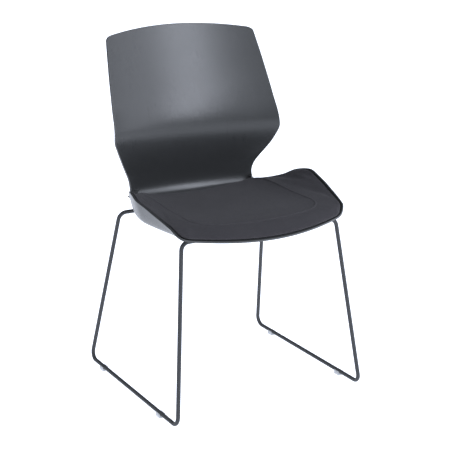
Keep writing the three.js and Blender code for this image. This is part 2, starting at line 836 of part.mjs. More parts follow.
function makeFrameScrew() {
  const body = turned([
    [0, headSeat - screwHeadHeight],
    [headRadius * screwFaceShare, headSeat - screwHeadHeight],
    [headRadius, headSeat - screwHeadHeight / 2],
    [headRadius, headSeat],
    [shankRadius, headSeat],
    [shankRadius, screwReach],
    [0, screwReach],
  ]);
  const socketRadius = socketAcross / Math.sqrt(3);
  const socket = new THREE.CylinderGeometry(socketRadius, socketRadius, 2 * socketDepth, socketSides);
  socket.translate(0, headSeat - screwHeadHeight, 0);
  return toGeometry(toSolid(body).subtract(toSolid(socket)));
}

frameFixings.forEach((seat, i) => {
  const insert = ring(shankRadius + touchGap, insertRadius, 2 * touchGap, 2 * touchGap + insertLength);
  addPiece(`shell_insert_${i + 1}`, placeOn(insert, seat, railUp), 'brass');
  addPiece(`frame_screw_${i + 1}`, placeOn(makeFrameScrew(), seat, railUp), 'zinc');
  const washerTop = -railThickness - touchGap;
  const washer = ring(shankRadius + shankClearance, washerDiameter / 2,
    washerTop - washerThickness, washerTop);
  addPiece(`frame_washer_${i + 1}`, placeOn(washer, seat, railUp), 'zinc');
});

// Glides: a block with a round groove that is a little more than a half circle, so that it grips.

function makeGlide(x, y) {
  const groove = rodRadius + touchGap;
  const half = rodRadius + glideWall;
  const top = runnerHeight + glideWrap;
  const opening = Math.asin(glideWrap / groove);
  const block = new THREE.Shape();
  block.moveTo(-half + glideEdgeRadius, 0);
  block.lineTo(half - glideEdgeRadius, 0);
  block.absarc(half - glideEdgeRadius, glideEdgeRadius, glideEdgeRadius, -Math.PI / 2, 0, false);
  block.lineTo(half, top);
  block.lineTo(groove * Math.cos(opening), top);
  block.absarc(0, runnerHeight, groove, opening, Math.PI - opening, true);
  block.lineTo(-half, top);
  block.lineTo(-half, glideEdgeRadius);
  block.absarc(-half + glideEdgeRadius, glideEdgeRadius, glideEdgeRadius, Math.PI, 3 * Math.PI / 2, false);
  const glide = new THREE.ExtrudeGeometry(block, {
    depth: glideLength,
    bevelEnabled: false,
    curveSegments: roundSides / 2,
  });
  glide.rotateX(Math.PI / 2);
  glide.translate(x, y + glideLength / 2, 0);
  return glide;
}

for (const [sideName, side] of [['left', -1], ['right', 1]]) {
  const x = side * runnerSpacing / 2;
  addPiece(`glide_front_${sideName}`, makeGlide(x, frontGlideInset - runnerLength / 2), 'clear');
  addPiece(`glide_rear_${sideName}`, makeGlide(x, runnerLength / 2 - rearGlideInset), 'clear');
}

// The chair stands on z = 0, and its origin is under the middle of its depth.
const bounds = new THREE.Box3().setFromObject(chair);
chair.position.y = -(bounds.min.y + bounds.max.y) / 2;
chair.updateMatrixWorld(true);

export default chair;
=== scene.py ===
import math

import bpy
import numpy as np
from mathutils import Matrix, Vector


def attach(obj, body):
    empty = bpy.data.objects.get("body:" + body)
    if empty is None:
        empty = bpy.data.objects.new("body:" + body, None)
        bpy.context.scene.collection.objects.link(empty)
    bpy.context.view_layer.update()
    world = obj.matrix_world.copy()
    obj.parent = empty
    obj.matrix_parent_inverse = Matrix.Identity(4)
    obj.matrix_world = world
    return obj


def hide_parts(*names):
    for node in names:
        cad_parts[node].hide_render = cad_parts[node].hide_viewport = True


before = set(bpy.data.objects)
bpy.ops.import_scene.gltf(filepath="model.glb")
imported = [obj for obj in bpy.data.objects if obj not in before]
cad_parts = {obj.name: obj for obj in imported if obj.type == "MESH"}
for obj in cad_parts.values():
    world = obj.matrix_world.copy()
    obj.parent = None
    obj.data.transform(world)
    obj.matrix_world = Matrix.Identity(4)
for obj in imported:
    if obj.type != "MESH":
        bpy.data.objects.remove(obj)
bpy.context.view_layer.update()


# The camera. The chair is seen from its front left corner, a little above the seat, with a long
# lens, so its upright lines stay almost parallel.

CAMERA_PLACE = Vector((-1.3788, -2.4209, 1.1900))
CAMERA_AIM = Vector((-0.37808, -0.67387, 0.61396))
CAMERA_LENS_MM = 94.10
CAMERA_FILM_MM = 36.0

bpy.ops.object.select_all(action="DESELECT")
bpy.ops.object.camera_add(location=CAMERA_PLACE)
camera = bpy.context.object
camera.name = "photo_camera"
camera.rotation_euler = (CAMERA_AIM - CAMERA_PLACE).to_track_quat("-Z", "Y").to_euler()
camera.data.sensor_width = CAMERA_FILM_MM
camera.data.lens = CAMERA_LENS_MM
camera.data.clip_end = 60
bpy.context.scene.camera = camera


# The studio. A white floor that is lit from all round, a large soft box in front of the chair on
# its right, a weaker one beside it, a faint one before it, and a low one for the left wing.

FLOOR_RADIUS = 14.0
FLOOR_WHITE, FLOOR_MOTTLE = (0.32, 0.32, 0.325, 1), (0.28, 0.28, 0.285, 1)
FLOOR_GLOW = 1.6
CEILING_GREY, WALL_WHITE = (0.26, 0.28, 0.31, 1), (0.46, 0.49, 0.54, 1)
CEILING_HEIGHT_GAIN = 1.4
LAMP_TINT = (0.91, 0.96, 1.08)
LAMP_AIM = Vector((0, 0, 0.65))


class Wire:
    """One output of a shader node. Sums of wires add Math nodes; node() adds any other node."""

    def __init__(self, tree, output):
        self.tree = tree
        self.output = output

    def node(self, kind, settings=None, output=0, **inputs):
        made = self.tree.nodes.new(kind)
        for name, value in (settings or {}).items():
            if name == "stops":
                ramp = made.color_ramp.elements
                while len(ramp) < len(value):
                    ramp.new(0.5)
                for element, (place, colour) in zip(ramp, value):
                    element.position = place
                    element.color = colour
            else:
                setattr(made, name, value)
        for name, value in inputs.items():
            key = int(name[1:]) if name[0] == "_" else name.replace("_", " ")
            if isinstance(value, Wire):
                self.tree.links.new(value.output, made.inputs[key])
            else:
                made.inputs[key].default_value = value
        return Wire(self.tree, made.outputs[output])

    def math(self, operation, first, second=0.0):
        return self.node("ShaderNodeMath", {"operation": operation}, _0=first, _1=second)

    def mix(self, share, first, second):
        return self.node("ShaderNodeMix", {"data_type": "RGBA"}, output=2, _0=share, _6=first, _7=second)

    def __add__(self, other):
        return self.math("ADD", self, other)

    __radd__ = __add__

    def __sub__(self, other):
        return self.math("SUBTRACT", self, other)

    def __rsub__(self, other):
        return self.math("SUBTRACT", other, self)

    def __mul__(self, other):
        return self.math("MULTIPLY", self, other)

    __rmul__ = __mul__


def new_finish(name, **constants):
    """A material, its shader with constants set, and a wire to start from."""
    material = bpy.data.materials.new(name)
    material.use_nodes = True
    tree = material.node_tree
    shader = tree.nodes["Principled BSDF"]
    for key, value in constants.items():
        shader.inputs[key.replace("_", " ")].default_value = value
    place = Wire(tree, tree.nodes.new("ShaderNodeTexCoord").outputs["Object"])
    return material, shader, place


def feed(shader, **wires):
    """Links wires to a shader's sockets."""
    for key, wire in wires.items():
        wire.tree.links.new(wire.output, shader.inputs[key.replace("_", " ")])


bpy.ops.object.select_all(action="DESELECT")
bpy.ops.mesh.primitive_circle_add(vertices=96, radius=FLOOR_RADIUS, fill_type="NGON")
floor = bpy.context.object
floor.name = "studio_floor"
floor_paint, floor_shader, floor_place = new_finish("floor_paint", Roughness=0.9)
floor_mottle = floor_place.node("ShaderNodeTexNoise", output="Fac", Vector=floor_place, Scale=1.5, Detail=3.0)
floor_colour = floor_place.mix(floor_mottle, FLOOR_WHITE, FLOOR_MOTTLE)
feed(floor_shader, Base_Color=floor_colour)
floor_shader.inputs["Emission Color"].default_value = (*LAMP_TINT, 1)
floor_shader.inputs["Emission Strength"].default_value = FLOOR_GLOW
floor.data.materials.append(floor_paint)

sky = bpy.data.worlds.new("studio_sky")
sky.use_nodes = True
background = sky.node_tree.nodes["Background"]
way_up = Wire(sky.node_tree, sky.node_tree.nodes.new("ShaderNodeTexCoord").outputs["Generated"])
way_up = way_up.node("ShaderNodeSeparateXYZ", output="Z", Vector=way_up)
seen = Wire(sky.node_tree, sky.node_tree.nodes.new("ShaderNodeLightPath").outputs["Is Camera Ray"])
room = seen.mix(way_up * CEILING_HEIGHT_GAIN, WALL_WHITE, CEILING_GREY)
feed(background, Color=seen.mix(seen, room, (1, 1, 1, 1)))
bpy.context.scene.world = sky
bpy.context.scene.view_settings.view_transform = "Standard"


def soft_box(name, azimuth, height, distance, width, tall, watts):
    """A lamp that looks at the chair. Azimuth 0 is in front of it, and 90 is to its right."""
    turn = math.radians(azimuth)
    place = Vector((distance * math.sin(turn), -distance * math.cos(turn), height))
    bpy.ops.object.light_add(type="AREA", location=place)
    lamp = bpy.context.object
    lamp.name = name
    lamp.rotation_euler = (LAMP_AIM - place).to_track_quat("-Z", "Y").to_euler()
    lamp.data.shape = "RECTANGLE"
    lamp.data.size = width
    lamp.data.size_y = tall
    lamp.data.energy = watts
    lamp.data.color = LAMP_TINT


soft_box("key_box", 31, 2.5, 3.2, 1.1, 2.9, 80)
soft_box("side_box", 57, 2.0, 3.2, 1.3, 2.6, 24)
soft_box("fill_box", 5, 2.5, 3.2, 1.1, 2.9, 9)
soft_box("left_strip", 262, 0.7, 2.6, 2.4, 1.2, 20)


# Shell. One injection moulded piece of satin plastic, 5 mm thick, makes the seat and the back.
# It is bent and dished in both directions, and its rim is rounded all the way round. Four bosses
# under the seat take brass inserts, and four spot faces take the screws that hold the pad.

FRONT_BAR_HEIGHT = 0.426
SEAT_HEIGHT = FRONT_BAR_HEIGHT + 0.011
BACK_RISE = 0.426
BACK_REACH = 0.240
SEAT_REACH = 0.247
SEAT_WAVE = 0.017
DEPTH_SHIFT = 0.00187
SHELL_WALL = 0.005
TOP_WIDTH, TOP_CORNER = 0.4105, 0.016
TOP_ARCH, ARCH_LENGTH = 0.030, 0.160
BACK_WIDTH, BACK_CORNER, BACK_CORNER_SHARE = 0.466, 0.024, 0.326
NECK_WIDTH, NECK_TOP_RADIUS, NECK_TOP_SHARE = 0.348, 0.0805, 0.454
NECK_BOTTOM_RADIUS, NECK_BOTTOM_SHARE = 0.022, 0.530
WING_REAR_WIDTH, WING_REAR_RADIUS, WING_REAR_SHARE = 0.4125, 0.117, 0.618
WING_WIDTH, WING_CORNER, WING_SHARE = 0.5095, 0.150, 0.7175
LIP_WIDTH, LIP_CORNER = 0.453, 0.034
LIP_BOW, BOW_LENGTH = 0.0508, 0.220
BACK_HOLLOW, BACK_STEEPNESS = 0.037, 2
DISH_SOFTNESS, DISH_STEPS, DISH_REACH = 0.028, 1200, 150
WING_RISE, WING_FOLD, FOLD_SOFTNESS = 0.069, 0.954, 0.0215

BACK_PROFILE = [
    (0.994, 1.000), (0.911, 0.882), (0.788, 0.700), (0.661, 0.542), (0.612, 0.391),
    (0.655, 0.273), (0.730, 0.116), (0.709, 0.000),
]
SEAT_PROFILE = [
    (0.454, -0.06), (0.182, 0.06), (-0.113, -0.06), (-0.405, 0.00),
    (-0.660, 0.24), (-0.834, 0.24), (-1.000, -0.82),
]
HOLLOW = [
    (0.00, 0.69), (0.12, 0.80), (0.24, 0.91), (0.31, 1.21), (0.353, 1.08), (0.44, 0.56),
    (0.508, 0.52), (0.542, 0.29), (0.60, 0.10), (0.70, 0.16), (1.00, 0.00),
]
RISE = [
    (0.00, 0.00), (0.31, 0.00), (0.44, 0.03), (0.508, 0.12), (0.542, 0.20), (0.589, 0.43),
    (0.636, 0.62), (0.677, 0.87), (0.72, 0.96), (0.765, 0.81), (0.80, 0.73), (0.87, 0.54),
    (0.92, 0.41), (0.965, 0.29), (1.00, 0.17),
]


def smooth_table(table, at):
    """A smooth line through a table of stations and shares."""
    x, y = np.array(table).T
    slope = np.diff(y) / np.diff(x)
    before, after = slope[:-1], slope[1:]
    same_way = before * after > 0
    total = np.where(same_way, before + after, 1)
    lean = np.concatenate([[0], np.where(same_way, 2 * before * after / total, 0), [0]])
    i = np.clip(np.searchsorted(x, at, side="right") - 1, 0, len(x) - 2)
    width = x[i + 1] - x[i]
    t = np.clip((at - x[i]) / width, 0, 1)
    pull = (1 - t) * lean[i] - t * lean[i + 1]
    bend = (1 - 2 * t) * (y[i] - y[i + 1])
    return (1 - t) * y[i] + t * y[i + 1] + t * (1 - t) * (width * pull + bend)


def cubic_spline(points, t):
    """A clamped cubic spline with even knots."""
    spans = len(points) - 3
    knots = np.concatenate([[0] * 3, np.linspace(0, 1, spans + 1), [1] * 3])
    k = np.clip(np.searchsorted(knots, t, side="right") - 1, 3, len(points) - 1)
    level = [points[k - 3 + j] for j in range(4)]
    for r in range(1, 4):
        for j in range(3, r - 1, -1):
            low, high = knots[j + k - 3], knots[j + 1 + k - r]
            a = ((t - low) / (high - low))[:, None]
            level[j] = (1 - a) * level[j - 1] + a * level[j]
    return level[3]


profile_line = cubic_spline(np.array(
    [(y * BACK_REACH, SEAT_HEIGHT + z * BACK_RISE) for y, z in BACK_PROFILE]
    + [(y * SEAT_REACH, SEAT_HEIGHT + z * SEAT_WAVE) for y, z in SEAT_PROFILE]), np.linspace(0, 1, 8001))
profile_run = np.concatenate([[0], np.cumsum(np.linalg.norm(np.diff(profile_line, axis=0), axis=1))])
PROFILE_LENGTH = profile_run[-1]
profile_way = np.gradient(profile_line, profile_run, axis=0)
profile_way /= np.linalg.norm(profile_way, axis=1)[:, None]

ARC_STEPS = 16


def round_corners(corners):
    """Rounds the corners of an open line of (station, half width, radius)."""
    line = []
    for i, (station, half, radius) in enumerate(corners):
        corner = np.array([station, half])
        if radius == 0:
            line.append(corner)
            continue
        before = np.array(corners[i - 1][:2]) - corner
        after = np.array(corners[i + 1][:2]) - corner
        room = min(np.linalg.norm(before), np.linalg.norm(after)) / 2
        before /= np.linalg.norm(before)
        after /= np.linalg.norm(after)
        half_angle = math.acos(before @ after) / 2
        reach = min(radius / math.tan(half_angle), room)
        middle = (before + after) / np.linalg.norm(before + after)
        centre = corner + middle * reach / math.cos(half_angle)
        start = corner + before * reach - centre
        end = corner + after * reach - centre
        sweep = math.atan2(start[0] * end[1] - start[1] * end[0], start @ end)
        for k in range(ARC_STEPS + 1):
            c, s = math.cos(sweep * k / ARC_STEPS), math.sin(sweep * k / ARC_STEPS)
            line.append(centre + [start[0] * c - start[1] * s, start[0] * s + start[1] * c])
    return np.array(line)


shell_corners = [
    (0, 0, 0),
    (0, TOP_WIDTH / 2, TOP_CORNER),
    (BACK_CORNER_SHARE * PROFILE_LENGTH, BACK_WIDTH / 2, BACK_CORNER),
    (NECK_TOP_SHARE * PROFILE_LENGTH, NECK_WIDTH / 2, NECK_TOP_RADIUS),
    (NECK_BOTTOM_SHARE * PROFILE_LENGTH, NECK_WIDTH / 2, NECK_BOTTOM_RADIUS),
    (WING_REAR_SHARE * PROFILE_LENGTH, WING_REAR_WIDTH / 2, WING_REAR_RADIUS),
    (WING_SHARE * PROFILE_LENGTH, WING_WIDTH / 2, WING_CORNER),
    (PROFILE_LENGTH, LIP_WIDTH / 2, LIP_CORNER),
    (PROFILE_LENGTH, 0, 0),
]
shell_outline = round_corners(shell_corners)

# The shell's sides run straight on to the lip, so that the wings end at its rounded corners.
side_line = round_corners([*shell_corners[:-2], (PROFILE_LENGTH, LIP_WIDTH / 2, 0), (PROFILE_LENGTH, 0, 0)])


def half_width(outline, station):
    return np.interp(station, outline[1:-1, 0], outline[1:-1, 1])


# The dish of the back is shared out over a width without corners, so that no crease runs across.
even_stations = np.linspace(0, PROFILE_LENGTH, DISH_STEPS + 1)
bell_places = np.arange(-DISH_REACH, DISH_REACH + 1) * PROFILE_LENGTH / DISH_STEPS
bell = np.exp(-0.5 * (bell_places / DISH_SOFTNESS) ** 2)
top_square = shell_outline[[0, 1, *range(ARC_STEPS + 2, len(shell_outline))]]
even_widths = np.pad(half_width(top_square, even_stations), DISH_REACH, mode="edge")
even_widths = np.convolve(even_widths, bell / bell.sum(), mode="valid")


def wing_section(share):
    """How high the wing stands across: flat inside the fold, then steeply up to 1 at the rim."""
    rim = np.logaddexp(0, (1 - WING_FOLD) / FOLD_SOFTNESS)
    return np.logaddexp(0, (share - WING_FOLD) / FOLD_SOFTNESS) / rim


def face_points(station, x, section=wing_section):
    """Points of the shell's inner face: station along the profile, x across."""
    near_top = np.maximum(1 - np.maximum(station, 0) / ARCH_LENGTH, 0)
    near_lip = np.clip(1 - (PROFILE_LENGTH - station) / BOW_LENGTH, 0, 1)
    arch = TOP_ARCH * near_top ** 2 * (2 * x / TOP_WIDTH) ** 2
    bow = LIP_BOW * near_lip ** 2 * (2 * x / LIP_WIDTH) ** 2
    run = np.clip(station + arch - bow, 0, PROFILE_LENGTH)
    y, z = (np.interp(run, profile_run, profile_line[:, k]) for k in (0, 1))
    way_y, way_z = (np.interp(run, profile_run, profile_way[:, k]) for k in (0, 1))
    share = station / PROFILE_LENGTH
    dish = np.abs(x) / np.interp(station, even_stations, even_widths)
    wing = np.abs(x) / half_width(side_line, station)
    rise = (BACK_HOLLOW * smooth_table(HOLLOW, share) * dish ** BACK_STEEPNESS
            + WING_RISE * smooth_table(RISE, share) * section(wing))
    return np.stack([x, y + rise * way_z + DEPTH_SHIFT, z - rise * way_y], axis=-1)


STEP = 0.0005


def face_normals(station, x, section=wing_section):
    """The way off the face, towards the sitter."""
    along = face_points(station + STEP, x, section) - face_points(station - STEP, x, section)
    across = face_points(station, x + STEP, section) - face_points(station, x - STEP, section)
    normal = np.cross(along, across)
    return normal / np.linalg.norm(normal, axis=-1)[..., None]


def sheet_grid(outline, row_gap, shares, ease, section=wing_section):
    """Stations and x of a grid that fills an outline. Its corners lie halfway round the outline's
    end corners, so that no cell is thin, and its columns share out the way over the wings."""
    split = ARC_STEPS // 2 + 1
    top, side, lip = outline[:split + 1], outline[split:-split], outline[-split - 1:][::-1]
    first, last, start, end = top[0, 0], lip[0, 0], side[0], side[-1]
    centre = np.linspace(first, last, round((last - first) / row_gap) + 1)
    top_ease = np.clip(1 - (centre - first) / ease, 0, 1) ** 2
    lip_ease = np.clip(1 - (last - centre) / ease, 0, 1) ** 2
    edge = centre + (start[0] - first) * top_ease - (last - end[0]) * lip_ease
    fine = np.linspace(0, 1, 400)
    fine_x = np.interp(edge, side[:, 0], side[:, 1])[:, None] * fine
    steps = np.linalg.norm(np.diff(face_points(edge[:, None], fine_x, section), axis=1), axis=2)
    way = np.pad(np.cumsum(steps, axis=1), ((0, 0), (1, 0)))
    half = np.array([np.interp(shares * run[-1], run, x) for run, x in zip(way, fine_x)])
    x = np.concatenate([-half[:, :0:-1], half], axis=1)
    top_bend = np.interp(np.abs(x) * (start[1] / half[0, -1]), top[:, 1], top[:, 0]) - first
    lip_bend = last - np.interp(np.abs(x) * (end[1] / half[-1, -1]), lip[:, 1], lip[:, 0])
    return centre[:, None] + top_ease[:, None] * top_bend - lip_ease[:, None] * lip_bend, x


def only(*things):
    """Selects these objects and nothing else."""
    bpy.ops.object.select_all(action="DESELECT")
    for thing in things:
        thing.select_set(True)
    bpy.context.view_layer.objects.active = things[0]


def lay_sheet(name, places):
    """A grid primitive whose points are laid at rows and columns of places, facing the sitter."""
    rows, columns = places.shape[:2]
    bpy.ops.object.select_all(action="DESELECT")
    bpy.ops.mesh.primitive_grid_add(x_subdivisions=columns - 1, y_subdivisions=rows - 1, size=2)
    sheet = bpy.context.object
    sheet.name = name
    flat = np.array([v.co for v in sheet.data.vertices])
    j = np.round((flat[:, 0] + 1) / 2 * (columns - 1)).astype(int)
    i = np.round((1 - flat[:, 1]) / 2 * (rows - 1)).astype(int)
    sheet.data.vertices.foreach_set("co", places[i, j].ravel())
    sheet.data.update()
    return sheet, i, j


def apply_modifier(piece, kind, **settings):
    """Adds a modifier, sets it and applies it."""
    only(piece)
    modifier = piece.modifiers.new(kind.lower(), kind)
    for key, value in settings.items():
        setattr(modifier, key, value)
    bpy.ops.object.modifier_apply(modifier=modifier.name)


def turned_pin(name, foot, axis, steps, sides=48):
    """A round pin on an axis: a cylinder, then one extrusion for each further (radius, height)."""
    radius, low = steps[0]
    high = steps[1][1]
    turn = Vector((0, 0, 1)).rotation_difference(Vector(axis)).to_matrix().to_4x4()
    bpy.ops.object.select_all(action="DESELECT")
    bpy.ops.mesh.primitive_cylinder_add(vertices=sides, radius=radius, depth=high - low,
                                        location=(0, 0, (high + low) / 2))
    pin = bpy.context.object
    pin.name = name
    bpy.ops.object.transform_apply(location=True, rotation=True, scale=True)
    for before, after in zip(steps[1:], steps[2:]):
        bpy.ops.object.mode_set(mode="EDIT")
        bpy.ops.mesh.select_mode(type="FACE")
        bpy.ops.mesh.select_all(action="DESELECT")
        bpy.ops.object.mode_set(mode="OBJECT")
        caps = [face for face in pin.data.polygons if len(face.vertices) == sides]
        cap = max(caps, key=lambda face: face.center.z)
        cap.select = True
        bpy.ops.object.mode_set(mode="EDIT")
        bpy.ops.mesh.extrude_region_move(TRANSFORM_OT_translate={"value": (0, 0, after[1] - before[1])})
        grow = after[0] / before[0]
        bpy.ops.transform.resize(value=(grow, grow, 1))
        bpy.ops.object.mode_set(mode="OBJECT")
    pin.data.transform(Matrix.Translation(Vector(foot)) @ turn)
    return pin


SHELL_ROW_GAP, SHELL_EASE = 0.0036, 0.07
RIM_BEVEL, RIM_SEGMENTS = 0.0018, 3
shell_shares = np.concatenate([np.linspace(0, 0.68, 24), np.linspace(0.68, 1, 30)[1:]])
station_grid, x_grid = sheet_grid(shell_outline, SHELL_ROW_GAP, shell_shares, SHELL_EASE)
shell, _, _ = lay_sheet("seat_shell", face_points(station_grid, x_grid))
apply_modifier(shell, "SOLIDIFY", thickness=SHELL_WALL, offset=-1, use_even_offset=True)
apply_modifier(shell, "BEVEL", width=RIM_BEVEL, segments=RIM_SEGMENTS, limit_method="ANGLE",
               angle_limit=math.radians(60), use_clamp_overlap=True)

RAIL_START = Vector((0, -0.185 + DEPTH_SHIFT, FRONT_BAR_HEIGHT))
RAIL_SPAN = Vector((0, 0.328, -0.008))
RAIL_ALONG = RAIL_SPAN.normalized()
RAIL_UP = Vector((1, 0, 0)).cross(RAIL_ALONG)
RAIL_HALF_THICKNESS = 0.002
RAIL_HOLE_INSET = 0.052
RAIL_X = 0.105
BOSS_RADIUS, BOSS_BORE, BOSS_BORE_DEPTH, BOSS_GAP = 0.010, 0.0046, 0.0089, 0.0003
FLARE_START, FLARE_MIDDLE, FLARE_REACH = 0.004, 0.0022, 0.002
PAD_SCREW_X = 0.085
PAD_SCREW_STATIONS = [0.60, 0.87]
SCREW_HOLE, SPOT_FACE, SPOT_DEPTH = 0.0024, 0.0049, 0.0012
OVERRUN = 0.002

boss_places = []
for rail_x in (-RAIL_X, RAIL_X):
    for distance in (RAIL_HOLE_INSET, RAIL_SPAN.length - RAIL_HOLE_INSET):
        foot = RAIL_START + RAIL_ALONG * distance + RAIL_UP * RAIL_HALF_THICKNESS
        boss_places.append(Vector((rail_x, foot.y, foot.z)))
seat_stations = np.linspace(0.58, 0.97, 400) * PROFILE_LENGTH


def wall_height(x, y):
    """Height of the middle of the shell's wall over a place under the seat."""
    across = np.full(len(seat_stations), x)
    middle = face_points(seat_stations, across) - face_normals(seat_stations, across) * SHELL_WALL / 2
    return np.interp(-y, -middle[:, 1], middle[:, 2])


boss_pins, bore_pins = [], []
for k, foot in enumerate(boss_places):
    top = (wall_height(foot.x, foot.y) - foot.z) / RAIL_UP.z
    boss_pins.append(turned_pin(f"boss_{k}", foot, RAIL_UP, [
        (BOSS_RADIUS, BOSS_GAP), (BOSS_RADIUS, 0.4 * top), (BOSS_RADIUS, top - FLARE_START),
        (BOSS_RADIUS + 0.75 * FLARE_REACH, top - FLARE_MIDDLE), (BOSS_RADIUS + FLARE_REACH, top)]))
    bore_pins.append(turned_pin(f"bore_{k}", foot, RAIL_UP, [
        (BOSS_BORE, BOSS_GAP - OVERRUN), (BOSS_BORE, BOSS_GAP + BOSS_BORE_DEPTH)]))
for x in (-PAD_SCREW_X, PAD_SCREW_X):
    for share in PAD_SCREW_STATIONS:
        station = np.array([share * PROFILE_LENGTH])
        axis = Vector(face_normals(station, np.array([x]))[0])
        foot = Vector(face_points(station, np.array([x]))[0]) - axis * SHELL_WALL
        bore_pins.append(turned_pin("screw_hole", foot, axis, [
            (SPOT_FACE, -OVERRUN), (SPOT_FACE, SPOT_DEPTH), (SCREW_HOLE, SPOT_DEPTH),
            (SCREW_HOLE, SHELL_WALL + OVERRUN)]))


def combine(piece, others, operation):
    """Joins other bodies into one and adds them to the piece, or cuts them from it."""
    only(*others)
    bpy.ops.object.join()
    apply_modifier(piece, "BOOLEAN", operation=operation, solver="EXACT", object=others[0])
    bpy.data.objects.remove(others[0])


combine(shell, boss_pins, "UNION")
combine(shell, bore_pins, "DIFFERENCE")
only(shell)
bpy.ops.object.shade_smooth_by_angle(angle=math.radians(38))

PLASTIC_GREY = (0.0285, 0.0295, 0.0300, 1)
PLASTIC_GREY_WORN = (0.034, 0.035, 0.0355, 1)
plastic, plastic_shader, place = new_finish("satin_moulded_plastic", IOR=1.5)
cloud = place.node("ShaderNodeTexNoise", output="Fac", Vector=place, Scale=9.0, Detail=4.0)
streak = place.node("ShaderNodeTexNoise", output="Fac", Scale=1.0, Detail=3.0, Vector=place.node(
    "ShaderNodeMapping", Vector=place, Scale=(60.0, 60.0, 5.0)))
grain = place.node("ShaderNodeTexNoise", output="Fac", Vector=place, Scale=1500.0, Detail=2.0)
pits = place.node("ShaderNodeTexVoronoi", output="Distance", Vector=place, Scale=900.0)
feed(plastic_shader,
     Base_Color=place.mix(cloud * 0.5 + streak * 0.3 + grain * 0.2, PLASTIC_GREY, PLASTIC_GREY_WORN),
     Roughness=cloud * 0.06 + streak * 0.04 + grain * 0.06 + 0.21,
     Normal=place.node("ShaderNodeBump", Height=grain * 0.6 + pits * 0.4, Strength=0.22, Distance=0.0004))
shell.data.materials.append(plastic)

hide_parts("shell")
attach(shell, "root")


# Seat pad. Moulded foam on a pressed board, wrapped in a tight woven fabric and tucked in under
# its edge. It is screwed on from below, and its front rolls down to the shell's lip. The seam's
# welt follows the ridge round its top.

PAD_REAR_SHARE, PAD_FRONT_INSET, PAD_INSET, PAD_CORNER_INSET = 0.528, 0.0045, 0.0013, 0.0043
PAD_REAR_CORNER, PAD_FRONT_CORNER = 0.014, 0.040
PAD_THICKNESS, PAD_EDGE, PAD_REAR_EDGE = 0.019, 0.006, 0.0044
RIDGE_X, RIDGE_SHARE, RIDGE_CORNER, RIDGE_DROP = 0.180, 0.88, 0.050, 0.002
FRONT_BAND, REAR_BAND, EDGE_BAND = 0.050, 0.026, 0.060
DISH_STEEPNESS, ROLL_STEEPNESS = 5, 1.4
PAD_CLEARANCE, PAD_TUCK, EDGE_STRETCH = 0.001, 0.0015, 1.02
PAD_SWELL, PAD_SWELL_LIMIT, SWELL_PRESSURE, SWELL_FRAMES, SWELL_QUALITY = 0.001, 0.0022, 4, 20, 6
PAD_REAR = PAD_REAR_SHARE * PROFILE_LENGTH
PAD_FRONT = PROFILE_LENGTH - PAD_FRONT_INSET
PAD_ROW_GAP, PAD_EASE = 0.005, 0.06


def dish_section(share):
    """The gentle dish that the pad's top follows over the shell's fold."""
    return share ** DISH_STEEPNESS


def side_inset(station, inset):
    """The x distance from the rim that is this far from it along the face."""
    rim = half_width(shell_outline, station)
    near, far = (face_points(np.array([station]), np.array([x])) for x in (rim, rim - STEP))
    return inset * STEP / np.linalg.norm(far - near)


def pad_line(tuck):
    """The pad's outline, moved in by the tuck of its cover."""
    inset = PAD_INSET + tuck
    wing_rear, wing_middle = WING_REAR_SHARE * PROFILE_LENGTH, WING_SHARE * PROFILE_LENGTH
    rear_half = half_width(shell_outline, PAD_REAR) - side_inset(PAD_REAR, inset)
    return round_corners([
        (PAD_REAR + tuck, 0, 0),
        (PAD_REAR + tuck, rear_half, PAD_REAR_CORNER - tuck),
        (wing_rear, WING_REAR_WIDTH / 2 - side_inset(wing_rear, inset), WING_REAR_RADIUS),
        (wing_middle, WING_WIDTH / 2 - side_inset(wing_middle, PAD_CORNER_INSET + tuck), WING_CORNER),
        (PAD_FRONT - tuck, LIP_WIDTH / 2 - inset, PAD_FRONT_CORNER - tuck),
        (PAD_FRONT - tuck, 0, 0),
    ])


def smoothstep(t):
    k = np.clip(t, 0, 1)
    return k * k * (3 - 2 * k)


pad_outline = pad_line(0)


def edge_lift(station):
    """How thick the pad's edge is: thinner at the foot of the back."""
    return PAD_REAR_EDGE + (PAD_EDGE - PAD_REAR_EDGE) * smoothstep((station - PAD_REAR) / EDGE_BAND)


def pad_lift(station, x):
    """How far the pad's top stands off its dish: a crown inside the ridge line, then a roll."""
    edge = half_width(pad_outline, station)
    beside = np.maximum(np.abs(x) - np.minimum(RIDGE_X, RIDGE_SHARE * edge) + RIDGE_CORNER, 0)
    before = np.maximum(station - PAD_FRONT + FRONT_BAND + RIDGE_CORNER, 0)
    past = np.maximum(np.hypot(beside, before) - RIDGE_CORNER, 0)
    room = np.maximum(np.minimum(edge - np.abs(x), PAD_FRONT - station), 0)
    roll = (past / np.maximum(past + room, 1e-9)) ** ROLL_STEEPNESS
    rear = smoothstep((station - PAD_REAR) / REAR_BAND)
    rim = edge_lift(station)
    crown = PAD_THICKNESS - rim - RIDGE_DROP * np.maximum(1 - (x / RIDGE_X) ** 2, 0)
    return rim + crown * (1 - roll) * (1 + rear) / 2


def pad_points(station, x, lift):
    """Points lifted off the pad's dish, which is drawn in at its sides so that it meets the face."""
    edge = half_width(pad_outline, station)
    side = np.sign(x) * edge
    rim = edge_lift(station)[..., None]
    meets = face_points(station, side) + face_normals(station, side) * rim
    strays = face_points(station, side, dish_section) + face_normals(station, side, dish_section) * rim
    points = face_points(station, x, dish_section) + face_normals(station, x, dish_section) * lift[..., None]
    return points + (meets - strays) * dish_section(np.abs(x) / edge)[..., None]


